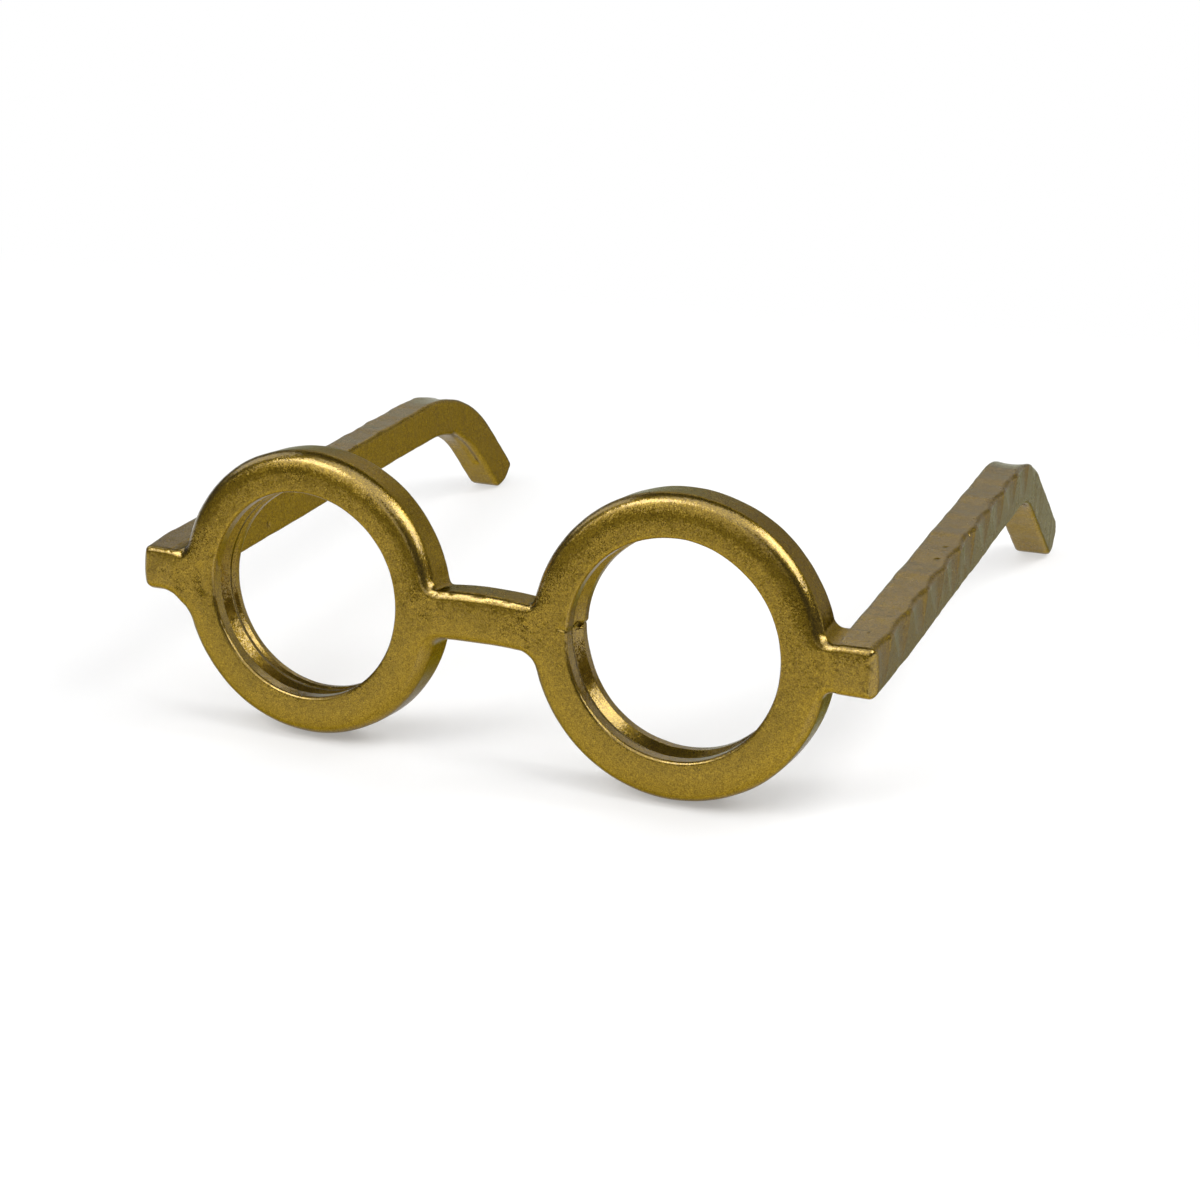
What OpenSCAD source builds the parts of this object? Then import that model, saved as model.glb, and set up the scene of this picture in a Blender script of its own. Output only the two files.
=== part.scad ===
// Table sculpture of a pair of round eyeglasses, made of square metal bar.
// Two rims are bars bent round and closed by a weld, a short bar bridges them, and two
// temples are bars butted against the rims and bent down at the rear into hooks.
// Welds fill the gaps between the bars. Nothing on it moves. Millimetres.
// Left and right are as someone sees them who stands in front. The front faces -Y.

/* [Rims] */
// Outer diameter of a rim
rim_outer_d = 112; // [100:1:124]
// Diameter of a rim's bore at its lip
rim_bore_d = 80.5; // [70:0.5:86]
// Depth of a rim, from its front face to its rear face
rim_depth = 18.5; // [16:0.5:24]
// Rounding of the outer edge at the front
rim_front_round = 4; // [1.5:0.5:6]
// Rounding of the outer edge at the rear
rim_rear_round = 3; // [1.5:0.5:6]
// Rounding of the bore's front edge
lip_round = 2.5; // [0.5:0.5:4]
// Rounding of the bore's rear edge
bore_rear_round = 1.5; // [0.5:0.5:2]
// Depth of the lip, from the front face to the lens channel
lip_depth = 5.5; // [4.5:0.5:7]
// Radial depth of the lens channel, just behind the lip
channel_depth = 1.6; // [0.5:0.1:2.5]
// Width of the lens channel, which runs out towards the rear
channel_w = 9.5; // [6:0.5:10]
// Width of the gap in a rim's bar that the closing weld fills, at the middle of the bar
seam_gap = 3; // [1.5:0.5:6]

/* [Bridge] */
// Shortest distance between the two rims
bridge_span = 39.5; // [30:0.5:60]
// Height of the bridge
bridge_h = 18.5; // [12:0.5:22]
// Depth of the bridge, from its front face to its rear face
bridge_d = 16; // [12:0.5:18]
// Rise of the bridge's middle over its ends
bridge_arch = 0.8; // [0.4:0.1:3]
// Height of the bridge's centre line over the rims' centre line
bridge_raise = 0.5; // [-4:0.1:6]
// Rounding of the bridge's long edges
bridge_round = 3; // [1:0.5:5]

/* [Temples] */
// Width of a temple, side to side
temple_w = 16; // [12:0.5:20]
// Height of a temple
temple_h = 17.8; // [13:0.1:20]
// Rounding of a temple's long edges
temple_round = 2; // [1:0.25:2.5]
// Height of a temple's front end over the rims' centre line
temple_raise = 1.7; // [-4:0.1:6]
// Climb of the temples towards the rear, in degrees from square to the front
temple_climb = 8.3; // [6:0.1:10]
// Left temple, from the front to the sharp corner that its bend rounds off
left_temple_length = 243.5; // [200:0.5:290]
// Right temple, from the front to the sharp corner that its bend rounds off
right_temple_length = 222; // [190:0.5:280]
// Rounding of a temple's outer edge at the front end
end_side_round = 4; // [2.5:0.5:6]
// Rounding of a temple's upper edge at the front end
end_top_round = 2; // [1:0.5:4]
// Rounding of the left temple's lower edge at the front end
left_end_bottom_round = 4.5; // [1:0.5:6]
// Rounding of the right temple's lower edge at the front end
right_end_bottom_round = 3; // [1:0.5:6]

/* [Hooks] */
// Angle by which the left hook is bent down from its temple
left_hook_angle = 51.5; // [42:0.1:60]
// Angle by which the right hook is bent down from its temple
right_hook_angle = 40.8; // [36:0.1:52]
// Inner radius of the left bend
left_bend_r = 60; // [20:1:75]
// Inner radius of the right bend
right_bend_r = 38; // [14:1:60]
// Depth of the dish that bending draws into the bar's outer face
bend_dish = 1.1; // [0.4:0.1:1.8]
// Rounding of the hook's end on its outer, rear side
heel_round = 5.5; // [3:0.5:7]
// Rounding of the hook's end on its inner, front side
toe_round = 4; // [3:0.5:6]
// Rounding of the hook's end at its two sides
tip_side_round = 3.5; // [2.5:0.5:5]

/* [Ripples] */
// Distance between the hammered ripples along a temple
ripple_pitch = 22.2; // [16:0.2:30]
// Depth of the ripples in a temple's outer side, at its upper edge
ripple_depth = 1; // [0.4:0.1:1.4]
// Height over a temple's lower edge at which those ripples run out
ripple_end = 3; // [3:0.5:8]
// Depth of the ripples in a temple's top
top_ripple_depth = 0.4; // [0.2:0.1:0.8]
// Flat ridge left between two ripples
ripple_land = 2; // [1:0.5:5]
// Place of the left temple's first ripple, from the front
left_ripple_start = 30; // [20:1:40]
// Place of the right temple's first ripple, from the front
right_ripple_start = 8; // [8:1:20]

/* [Welds] */
// Gap between a rim and the side of its temple
temple_gap = 2.5; // [1.5:0.5:5]
// Gap between a rim and the end of the bridge
bridge_gap = 2; // [1.5:0.5:4]
// Distance that the welds stay behind the front face and before the rear face
weld_inset = 0.8; // [0.5:0.1:1.5]
// Height of a weld's toe, where it ends on the bar
weld_toe = 0.5; // [0.3:0.1:1]
// Hollow of the bridge welds, above the bridge
bridge_weld_top_r = 4; // [2:0.5:8]
// Hollow of the bridge welds, below the bridge
bridge_weld_bottom_r = 5; // [2:0.5:8]
// Hollow of the temple welds, above the temple
temple_weld_top_r = 3.5; // [2:0.5:6]
// Hollow of the left temple's weld, below the temple
left_weld_bottom_r = 8; // [2:0.5:10]
// Hollow of the right temple's weld, below the temple
right_weld_bottom_r = 4; // [2:0.5:10]
// Diameter of the blowhole in the right rim's closing weld
blowhole_d = 1.6; // [1:0.1:2.2]

/* [Stand] */
// Lean of the front towards the rear, in degrees from upright
front_lean = 9.3; // [7:0.1:11]
// Height ground off the end of each hook, so that it stands flat
foot_trim = 1.2; // [0.5:0.1:2]

/* [Hidden] */

$fn = 200;
GOLD = [0.60, 0.49, 0.22];
DARK_GOLD = [0.50, 0.41, 0.18];
WELD_GOLD = [0.66, 0.54, 0.24];

LEFT = -1;
RIGHT = 1;
SLACK = 1;
OVERRUN = 1;
ABOVE = 0.02;

rim_r = rim_outer_d / 2;
bore_r = rim_bore_d / 2;
rim_bar = rim_r - bore_r;
rim_x = rim_r + bridge_span / 2;
seam_angle = 2 * asin(seam_gap / (rim_r + bore_r));
channel_back = min(lip_depth + channel_w, rim_depth - bore_rear_round - 0.5);

flank_x = rim_x + rim_r + temple_gap;
long = left_temple_length + right_temple_length + rim_outer_d;

// The rims' lowest points, on the rounding of the leaning rear edge, touch the table.
lift = (rim_r - rim_rear_round) * cos(front_lean) + (rim_depth - rim_rear_round) * sin(front_lean) + rim_rear_round;

// Slope of the temples over the table, and height and depth of the middle of their front ends
slope = temple_climb - front_lean;
temple_z0 = lift + temple_raise * cos(front_lean);
temple_y0 = temple_raise * sin(front_lean);

// A point of a temple's own side view, (along, up), as (depth, height) over the table
function on_table(p) = [
    temple_y0 + p[0] * cos(slope) - p[1] * sin(slope),
    temple_z0 + p[0] * sin(slope) + p[1] * cos(slope)
];

// Start of the bend along the temple, from the sharp corner at the given length
function bend_start(length, angle, bend_r) = length - (bend_r + temple_h) * tan(angle / 2);

// Middle of the bar where the bend ends and the straight hook starts
function hook_start(length, angle, bend_r) = [
    bend_start(length, angle, bend_r) + (bend_r + temple_h / 2) * sin(angle),
    (bend_r + temple_h / 2) * cos(angle) - bend_r - temple_h / 2
];

// Length of the straight hook whose end, before it is ground, reaches below the table by foot_trim
function hook_length(length, angle, bend_r) =
    toe_round + (on_table(hook_start(length, angle, bend_r))[1] + (toe_round - temple_h / 2) * cos(angle - slope)
    - toe_round + foot_trim) / sin(angle - slope);

// Depth of the rearmost point, on the rounded heel of the hook
function heel_back(length, angle, bend_r) =
    let (start = on_table(hook_start(length, angle, bend_r)), down = angle - slope)
    start[0] + (hook_length(length, angle, bend_r) - heel_round) * cos(down)
    + (temple_h / 2 - heel_round) * sin(down) + heel_round;

front_y = rim_front_round * (cos(front_lean) - 1) - (rim_r - rim_front_round) * sin(front_lean);
back_y = max(
    heel_back(left_temple_length, left_hook_angle, left_bend_r),
    heel_back(right_temple_length, right_hook_angle, right_bend_r)
);
centre_y = (front_y + back_y) / 2;

// Radius of a hollow whose width and depth are given
function hollow_r(width, depth) = (pow(width / 2, 2) + pow(depth, 2)) / (2 * depth);

// Frame of the leaning front: X to the right, Y back from the front face, Z up the front
module front_frame() {
    translate([0, -centre_y, lift]) rotate([-front_lean, 0, 0]) children();
}

// Frame of one temple: X out from its inner side, Y along it, Z up from its centre line
module temple_frame(side) {
    front_frame() mirror([side < 0 ? 1 : 0, 0, 0])
        translate([flank_x, 0, temple_raise]) rotate([temple_climb, 0, 0]) children();
}

// Rectangle with its own rounding at each corner, counted from the origin anticlockwise
module rounded_rectangle(size, r) {
    x = size[0];
    y = size[1];
    polygon([
        [r[0], 0], [x - r[1], 0], [x, r[1]], [x, y - r[2]],
        [x - r[2], y], [r[3], y], [0, y - r[3]], [0, r[0]]
    ]);
    if (r[0] > 0) translate([r[0], r[0]]) circle(r[0]);
    if (r[1] > 0) translate([x - r[1], r[1]]) circle(r[1]);
    if (r[2] > 0) translate([x - r[2], y - r[2]]) circle(r[2]);
    if (r[3] > 0) translate([r[3], y - r[3]]) circle(r[3]);
}

// Section of a rim's bar, radius by depth
module rim_section() {
    translate([bore_r, 0])
        rounded_rectangle([rim_bar, rim_depth], [lip_round, rim_front_round, rim_rear_round, bore_rear_round]);
}

// The lens channel: steep behind the lip, then rising gently to the rear
module channel_section() {
    polygon([
        [bore_r - SLACK, lip_depth],
        [bore_r, lip_depth],
        [bore_r + channel_depth, lip_depth + channel_depth / 2],
        [bore_r + channel_depth, lip_depth + channel_depth],
        [bore_r, channel_back],
        [bore_r - SLACK, channel_back]
    ]);
}

// Turns a section (radius, depth) round a rim's axis, from one angle on
module turned(start, angle) {
    rotate([-90, 0, 0]) rotate_extrude(start = start, angle = angle) children();
}

// A rim's bar bent round, with the gap for its closing weld at nine o'clock
module rim(side) {
    front_frame() translate([side * rim_x, 0, 0])
        turned(180 + seam_angle / 2, 360 - seam_angle) difference() {
            rim_section();
            channel_section();
        }
}

// The weld that closes a rim. It fills the lens channel too.
module closing_weld(side) {
    front_frame() translate([side * rim_x, 0, 0]) turned(180 - seam_angle / 2, seam_angle) rim_section();
}

// A full disc with a rim's outer surface, to cut the neighbours to that surface
module rim_blank(side) {
    front_frame() translate([side * rim_x, 0, 0]) turned(0, 360)
        rounded_rectangle([rim_r, rim_depth], [0, rim_front_round, rim_rear_round, 0]);
}

bridge_half = bridge_span / 2 - bridge_gap;
bridge_bend_r = hollow_r(2 * bridge_half, bridge_arch);
bridge_half_angle = asin(bridge_half / bridge_bend_r);
bridge_mid_z = bridge_raise + bridge_arch / 2;
bridge_end_z = bridge_raise - bridge_arch / 2;

// The bridge: a short bar with a slight arch and sawn ends
module bridge_bar() {
    front_frame() translate([0, 0, bridge_mid_z - bridge_bend_r])
        turned(270 - bridge_half_angle, 2 * bridge_half_angle)
            translate([bridge_bend_r - bridge_h / 2, 0])
                rounded_rectangle([bridge_h, bridge_d], [bridge_round, bridge_round, bridge_round, bridge_round]);
}

// Middle of the circle that hollows a weld, between a bar's face at height z and a rim
function hollow_centre(rim, z, r) = [
    rim[0] + sqrt(pow(rim_r + r - weld_toe, 2) - pow(z + r - weld_toe - rim[1], 2)),
    z + r - weld_toe
];

// Outline of a weld beside a rim, seen from the front, where the bar lies to the right of the rim.
// rim is the rim's middle, top and bottom the bar's faces, top_r and bottom_r the two hollows.
module weld_section(rim, top, bottom, top_r, bottom_r) {
    up = hollow_centre(rim, top, top_r);
    down_flipped = hollow_centre([rim[0], -rim[1]], -bottom, bottom_r);
    down = [down_flipped[0], -down_flipped[1]];
    inside = (top + bottom) / 2;
    difference() {
        polygon([rim, down, [down[0], inside], [up[0], inside], up]);
        translate(up) circle(top_r);
        translate(down) circle(bottom_r);
    }
}

// A weld between a rim and one end of the bridge
module bridge_weld(side) {
    top = bridge_end_z + bridge_h / 2;
    bottom = bridge_end_z - bridge_h / 2;
    difference() {
        front_frame() mirror([side > 0 ? 1 : 0, 0, 0]) translate([0, bridge_d - weld_inset, 0])
            rotate([90, 0, 0]) linear_extrude(bridge_d - 2 * weld_inset)
                weld_section([-rim_x, 0], top, bottom, bridge_weld_top_r, bridge_weld_bottom_r);
        rim_blank(side);
        bridge_bar();
    }
}

// Section of a temple's bar, height by width
module temple_section() {
    translate([-temple_h / 2, -temple_w / 2]) rounded_rectangle([temple_h, temple_w], [for (i = [0:3]) temple_round]);
}

// One half of a bent bar, as far as the middle of its bend: X across it, Y along it, Z out of the bend.
// The origin is the bend's own centre. The children are cut from the bar's end, with their origin in its middle.
module bent_half(run, angle, bend_r) {
    mid_r = bend_r + temple_h / 2;
    difference() {
        rotate([angle / 2, 0, 0]) {
            difference() {
                translate([0, -run, mid_r]) rotate([-90, -90, 0]) linear_extrude(run) temple_section();
                translate([0, -run, mid_r]) children();
            }
            rotate([0, -90, 0]) rotate_extrude(angle = angle / 2 + OVERRUN) translate([mid_r, 0]) temple_section();
        }
        translate([-temple_w, 0, 0]) cube([2 * temple_w, temple_h, 2 * (bend_r + temple_h)]);
    }
}

// A temple's bar: two such halves, mirrored about the middle of the bend. The second is the hook.
module bent_bar(length, angle, bend_r) {
    bent_half(bend_start(length, angle, bend_r) + rim_depth, angle, bend_r);
    mirror([0, 1, 0]) bent_half(hook_length(length, angle, bend_r), angle, bend_r) tip_cuts();
}

// What rounding takes off a square edge that runs along X, with the metal below and behind it.
// The round starts at a slight angle, this much higher than the face, so that it always crosses it.
module edge_cut(r, run, above = 0) {
    rotate([0, 90, 0]) linear_extrude(run, center = true) difference() {
        translate([-SLACK, -SLACK]) square(r + SLACK);
        translate([r - above, r]) circle(r);
    }
}

// Everything that is cut from the end of a hook: rounding at heel, toe and sides
module tip_cuts() {
    run = 2 * (temple_w + temple_h);
    translate([0, 0, temple_h / 2]) edge_cut(heel_round, run);
    mirror([0, 0, 1]) translate([0, 0, temple_h / 2]) edge_cut(toe_round, run);
    for (turn = [-90, 90])
        rotate([0, turn, 0]) translate([0, 0, temple_w / 2]) edge_cut(tip_side_round, run);
}

// What rounding takes off the upper or lower edge of a temple's front end, in the front's frame
module end_edge_cut(r, way) {
    face = temple_h / 2 / cos(temple_climb);
    mid = [r, way * (face - (r - ABOVE) / cos(temple_climb)) + r * tan(temple_climb)];
    out = [-way * sin(temple_climb), way * cos(temple_climb)];
    rotate([90, 0, 90]) linear_extrude(4 * temple_w, center = true) difference() {
        polygon([mid, [-SLACK, mid[1]], [-SLACK, way * (face + r)], mid + (r + 2 * SLACK) * out]);
        translate(mid) circle(r);
    }
}

// Everything that is cut from the front end: square to the front, then rounded
module end_cuts(side) {
    front_frame() mirror([side < 0 ? 1 : 0, 0, 0]) translate([flank_x, 0, temple_raise]) {
        translate([-temple_w, -long, -long]) cube([3 * temple_w, long, 2 * long]);
        end_edge_cut(end_top_round, 1);
        end_edge_cut(side == LEFT ? left_end_bottom_round : right_end_bottom_round, -1);
        translate([temple_w, 0, 0]) rotate([0, 90, 0]) edge_cut(end_side_round, 4 * temple_h, ABOVE);
    }
}

// Hollows along a temple's outer side and top, as hammering leaves them. Those in the side are
// deepest at the upper edge and run out above the lower one.
module ripple_cuts(length, start) {
    chord = ripple_pitch - ripple_land;
    side_r = hollow_r(chord, ripple_depth);
    top_r = hollow_r(chord, top_ripple_depth);
    tilt = atan(ripple_depth / (temple_h - ripple_end));
    for (y = [start : ripple_pitch : length + 2 * temple_h])
        translate([temple_w, y, ripple_end - temple_h / 2])
            rotate([0, -tilt, 0]) translate([side_r, 0, 0]) cylinder(r = side_r, h = length, center = true);
    for (y = [start + ripple_pitch / 2 : ripple_pitch : length - 3 * temple_h])
        translate([temple_w / 2, y, temple_h / 2 - top_ripple_depth + top_r])
            rotate([0, 90, 0]) cylinder(r = top_r, h = 3 * temple_w, center = true);
}

// The dish that bending draws into the outer face, deepest in the middle of the bend
module dish_cut(bend_r) {
    r = hollow_r(temple_w, bend_dish);
    translate([0, 0, bend_r + temple_h - bend_dish + r]) rotate([90, 0, 0]) cylinder(r = r, h = 4 * temple_w, center = true);
}

module table_cut() {
    translate([-long, -long, -long]) cube([2 * long, 2 * long, long]);
}

module temple(side, length, angle, bend_r) {
    difference() {
        temple_frame(side) difference() {
            translate([temple_w / 2, bend_start(length, angle, bend_r), -bend_r - temple_h / 2])
                rotate([-angle / 2, 0, 0]) difference() {
                    bent_bar(length, angle, bend_r);
                    dish_cut(bend_r);
                }
            ripple_cuts(length, side == LEFT ? left_ripple_start : right_ripple_start);
        }
        end_cuts(side);
        table_cut();
    }
}

// The front end of a temple, without the ripples in its outer side
module temple_end(side) {
    difference() {
        temple_frame(side) translate([temple_w / 2, -rim_depth, 0])
            rotate([-90, -90, 0]) linear_extrude(3 * rim_depth) temple_section();
        end_cuts(side);
    }
}

// The rims' middle as the temple's frame sees it, half way through the rims' depth
mid_depth = rim_depth / 2;
rim_from_temple = [
    -temple_gap - rim_r,
    -temple_raise * cos(temple_climb) - mid_depth * sin(temple_climb)
];

// A weld between a rim and the inner side of its temple
module temple_weld(side, bottom_r) {
    difference() {
        intersection() {
            temple_frame(side) translate([0, 2 * rim_depth, 0]) rotate([90, 0, 0]) linear_extrude(3 * rim_depth)
                weld_section(rim_from_temple, temple_h / 2, -temple_h / 2, temple_weld_top_r, bottom_r);
            front_frame() translate([-long, weld_inset, -long])
                cube([2 * long, rim_depth - 2 * weld_inset, 2 * long]);
        }
        rim_blank(side);
        temple_end(side);
    }
}

module left_rim() {
    color(GOLD) rim(LEFT);
}

module right_rim() {
    color(GOLD) rim(RIGHT);
}

module left_rim_closing_weld() {
    color(WELD_GOLD) closing_weld(LEFT);
}

// The right rim's weld has a blowhole in the bore, towards the rear.
module right_rim_closing_weld() {
    color(WELD_GOLD) difference() {
        closing_weld(RIGHT);
        front_frame() translate([rim_x - bore_r, 2 * rim_depth / 3, 0])
            rotate([0, 90, 0]) cylinder(d = blowhole_d, h = 2 * blowhole_d, center = true);
    }
}

module bridge() {
    color(GOLD) bridge_bar();
}

module bridge_weld_left() {
    color(WELD_GOLD) bridge_weld(LEFT);
}

module bridge_weld_right() {
    color(WELD_GOLD) bridge_weld(RIGHT);
}

module left_temple() {
    color(DARK_GOLD) temple(LEFT, left_temple_length, left_hook_angle, left_bend_r);
}

module right_temple() {
    color(DARK_GOLD) temple(RIGHT, right_temple_length, right_hook_angle, right_bend_r);
}

module left_temple_weld() {
    color(WELD_GOLD) temple_weld(LEFT, left_weld_bottom_r);
}

module right_temple_weld() {
    color(WELD_GOLD) temple_weld(RIGHT, right_weld_bottom_r);
}

left_rim();
right_rim();
left_rim_closing_weld();
right_rim_closing_weld();
bridge();
bridge_weld_left();
bridge_weld_right();
left_temple();
right_temple();
left_temple_weld();
right_temple_weld();
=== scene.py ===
# Looks of a table sculpture: round eyeglasses, welded from square bar and painted gold.
# One distance field, in millimetres, describes the whole weldment with its hollow weld corners,
# its hammered temples and the small unevenness of work by hand. It is meshed once, in pieces
# that meet at about the same borders as the CAD nodes, and each piece stands for its node.
from itertools import combinations, product
from math import asin, cos, pi, radians, sin, tan

import bpy
import numpy as np
from mathutils import Matrix, Vector


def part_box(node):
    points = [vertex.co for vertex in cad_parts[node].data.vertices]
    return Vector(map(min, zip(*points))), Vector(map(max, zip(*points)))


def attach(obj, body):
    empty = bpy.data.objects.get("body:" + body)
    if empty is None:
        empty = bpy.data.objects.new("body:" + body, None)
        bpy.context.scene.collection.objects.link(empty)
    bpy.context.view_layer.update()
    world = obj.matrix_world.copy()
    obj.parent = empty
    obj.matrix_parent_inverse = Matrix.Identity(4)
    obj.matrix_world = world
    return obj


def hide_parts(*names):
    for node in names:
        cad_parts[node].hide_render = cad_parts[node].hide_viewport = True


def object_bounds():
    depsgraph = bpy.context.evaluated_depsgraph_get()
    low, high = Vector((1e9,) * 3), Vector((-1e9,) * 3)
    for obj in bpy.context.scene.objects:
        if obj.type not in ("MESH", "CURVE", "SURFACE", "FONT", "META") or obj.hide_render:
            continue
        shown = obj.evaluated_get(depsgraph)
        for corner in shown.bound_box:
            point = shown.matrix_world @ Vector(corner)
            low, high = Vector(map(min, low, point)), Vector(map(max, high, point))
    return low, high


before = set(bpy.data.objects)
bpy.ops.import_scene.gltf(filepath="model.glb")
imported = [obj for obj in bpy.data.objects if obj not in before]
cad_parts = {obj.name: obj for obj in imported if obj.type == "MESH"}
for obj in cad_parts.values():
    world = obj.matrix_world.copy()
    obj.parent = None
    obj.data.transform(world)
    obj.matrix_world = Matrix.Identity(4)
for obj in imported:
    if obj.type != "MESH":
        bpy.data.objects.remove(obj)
cad_low, cad_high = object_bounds()

MM = 0.001
LEFT, RIGHT = -1, 1

# The front: it leans back, with X to the right, Y back from the front face and Z up the face
LEAN = radians(9.3)
RIM_R = 56.0
BORE_R = 40.25
BAR = RIM_R - BORE_R
BAR_MIDDLE = (RIM_R + BORE_R) / 2
RIM_DEPTH = 18.5
RIM_FRONT_ROUND = {LEFT: 4.2, RIGHT: 3.4}
RIM_REAR_ROUND = 3.0
LIP_ROUND = 1.2
BORE_REAR_ROUND = 1.5
SEAM_GAP = 3.0
LEFT_RIM_FLATTER = 0.6
# Lens channel: places behind the front face and its depth there. Less than 0 stands out of the bore.
CHANNEL = {
    LEFT: [(5.6, 0), (6.4, 2.3), (11.4, 0.1), (13.2, 0.5), (15.0, -0.3)],
    RIGHT: [(5.4, 0), (6.2, 1.2), (9.3, 1.6), (14.0, -0.5)],
}

# The front face falls back by the pillow from the middle of each bar to its edges. A rim falls
# back further outside its ridge, which lies at a share of the bar from the bore outwards, and
# less inside it. Beside the bridge and the temples a rim is as flat as they are.
PILLOW = 0.4
PILLOW_LIMIT = 1.3
RIM_PILLOW = {LEFT: 2.1, RIGHT: 1.7}
RIDGE = 0.4
INSIDE_RIDGE = 0.5
FLAT_SHORTER = 1.5
FLAT_RUN_OUT = 9.0

# Lengths over which one form of the front face or of its edges runs into the next. The change from
# a rim's rounding to that of a bar starts inside the rim.
PILLOW_CHANGE = 3.0
ROUND_CHANGE = 5.0
ROUND_CHANGE_INSIDE = 1.0
MITRE_CHANGE = 4.0

# The bridge
BRIDGE_H = 18.5
BRIDGE_D = 16.0
BRIDGE_ROUND = 3.0
BRIDGE_ARCH = 0.8
BRIDGE_RAISE = 0.5
BRIDGE_HALF = 17.75

# The temples, each in a frame with X out from its inner side, Y along it and Z up
TEMPLE_W = 16.0
TEMPLE_H = 17.8
TEMPLE_ROUND = 2.0
TEMPLE_RAISE = 1.7
TEMPLE_CLIMB = radians(8.3)
TEMPLE_GAP = 2.5
END_SIDE_ROUND = 4.0
END_TOP_ROUND = 2.0
END_BOTTOM_ROUND = {LEFT: 4.5, RIGHT: 3.0}
LENGTH = {LEFT: 243.5, RIGHT: 222.0}
HOOK_ANGLE = {LEFT: radians(51.5), RIGHT: radians(40.8)}
BEND_R = {LEFT: 60.0, RIGHT: 38.0}
BEND_MIDDLE_R = {side: BEND_R[side] + TEMPLE_H / 2 for side in (LEFT, RIGHT)}
BEND_DISH = 1.1
DISH_RUN_OUT = 5.0
HEEL_ROUND = {LEFT: 6.5, RIGHT: 14.0}
TOE_ROUND = {LEFT: 7.0, RIGHT: 5.0}
TIP_SIDE_ROUND = 4.5
FOOT_TRIM = 1.2
FRONT_CORNER_SOFTER = {LEFT: 1.5, RIGHT: 0.5}
END_BULGE = {LEFT: 1.1, RIGHT: 0.5}
RIPPLE_PITCH = 22.2
RIPPLE_DEPTH = 1.0
TOP_RIPPLE_DEPTH = 0.28
RIPPLE_LAND = 2.0
RIPPLE_START = {LEFT: 30.0, RIGHT: 8.0}
RIPPLE_END = 3.0

# Where the sculpture meets the table. Only the hooks lie this far back.
GROUND_ROUND = 1.0
TIP_GROUND_ROUND = 4.0
HOOKS_FROM = 100.0

# Hollow corners of the welds, above and below each bar
BRIDGE_HOLLOW_TOP = {LEFT: 3.4, RIGHT: 2.0}
BRIDGE_HOLLOW_BOTTOM = 4.5
TEMPLE_HOLLOW_TOP = 3.0
TEMPLE_HOLLOW_BOTTOM = {LEFT: 11.0, RIGHT: 4.0}
WELD_INSET = 0.8
WELD_LOWER = 0.2
# A weld bites this deep into a rim, as far up and down as its hollow corners reach
WELD_BITE = 1.1
WELD_REACH = 19.5

# Meshing. A block of voxels is kept where its middle is no further out than a margin and its half
# diagonal, which is given as a share of its side and rounded up.
VOXEL = 0.6
BLOCK = 8
BLOCKS_AT_ONCE = 1200
HALF_DIAGONAL = 0.87
BLOCK_MARGIN = 1.0
SETTLE_ROUNDS = 3
SLOPE_STEP = 0.05
LEAST_SQUARED_SLOPE = 0.05
FAR = 1000

# Places that follow from these sizes and from the frame's boxes
RIM_X = (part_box("right_rim")[0].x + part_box("right_rim")[1].x) / 2 / MM
FLANK_X = RIM_X + RIM_R + TEMPLE_GAP
LIFT = (RIM_R - RIM_REAR_ROUND) * cos(LEAN) + (RIM_DEPTH - RIM_REAR_ROUND) * sin(LEAN) + RIM_REAR_ROUND
CAD_FRONT_ROUND = 4.0
FRONT_REACH = (RIM_R - CAD_FRONT_ROUND) * sin(LEAN) + CAD_FRONT_ROUND * (1 - cos(LEAN))
SHIFT_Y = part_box("right_rim")[0].y / MM + FRONT_REACH
SEAM_HALF = asin(SEAM_GAP / 2 / BAR_MIDDLE)


def turn_to_world(q):
    """Directions of the front's frame in the row frame."""
    y = q[:, 1] * cos(LEAN) + q[:, 2] * sin(LEAN)
    z = -q[:, 1] * sin(LEAN) + q[:, 2] * cos(LEAN)
    return np.stack([q[:, 0], y, z], 1)


def to_world(q):
    """Points of the front's frame in the row frame, in millimetres."""
    return turn_to_world(q) + np.array([0, SHIFT_Y, LIFT])


def height(y, z):
    """Height over the table."""
    return -y * sin(LEAN) + z * cos(LEAN) + LIFT


def round_max(a, b, r):
    """Inside both a and b, with the edge between them rounded to the radius r."""
    return np.minimum(np.maximum(a, b), -r) + np.hypot(np.maximum(a + r, 0), np.maximum(b + r, 0))


def round_min(a, b, r):
    """Inside a or b, with a hollow of the radius r in the corner between them."""
    return np.maximum(np.minimum(a, b), r) - np.hypot(np.maximum(r - a, 0), np.maximum(r - b, 0))


def ease(t):
    """Runs smoothly from 0 to 1 as t does."""
    t = np.clip(t, 0, 1)
    return t * t * (3 - 2 * t)


def mix(a, b, t):
    """Runs from a to b as t runs from 0 to 1."""
    return a + (b - a) * t


def by_side(x, sizes):
    """The size of the side that x is on."""
    return np.where(x < 0, sizes[LEFT], sizes[RIGHT])


def rim(x, y, z, side):
    """A rim about its own axis, without a front face."""
    r = np.hypot(x, z)
    outer = r - RIM_R
    bore = BORE_R + np.interp(y, *zip(*CHANNEL[side])) - r
    rear = y - RIM_DEPTH
    return np.maximum(round_max(outer, rear, RIM_REAR_ROUND), round_max(bore, rear, BORE_REAR_ROUND))


def bridge(x, y, z):
    """The bridge, without a front face. Its ends reach into the rims."""
    rise = BRIDGE_RAISE + BRIDGE_ARCH * (0.5 - (x / BRIDGE_HALF) ** 2)
    section = round_max(abs(z - rise) - BRIDGE_H / 2, y - BRIDGE_D, BRIDGE_ROUND)
    return np.maximum(section, abs(x) - RIM_X + BAR_MIDDLE)


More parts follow.
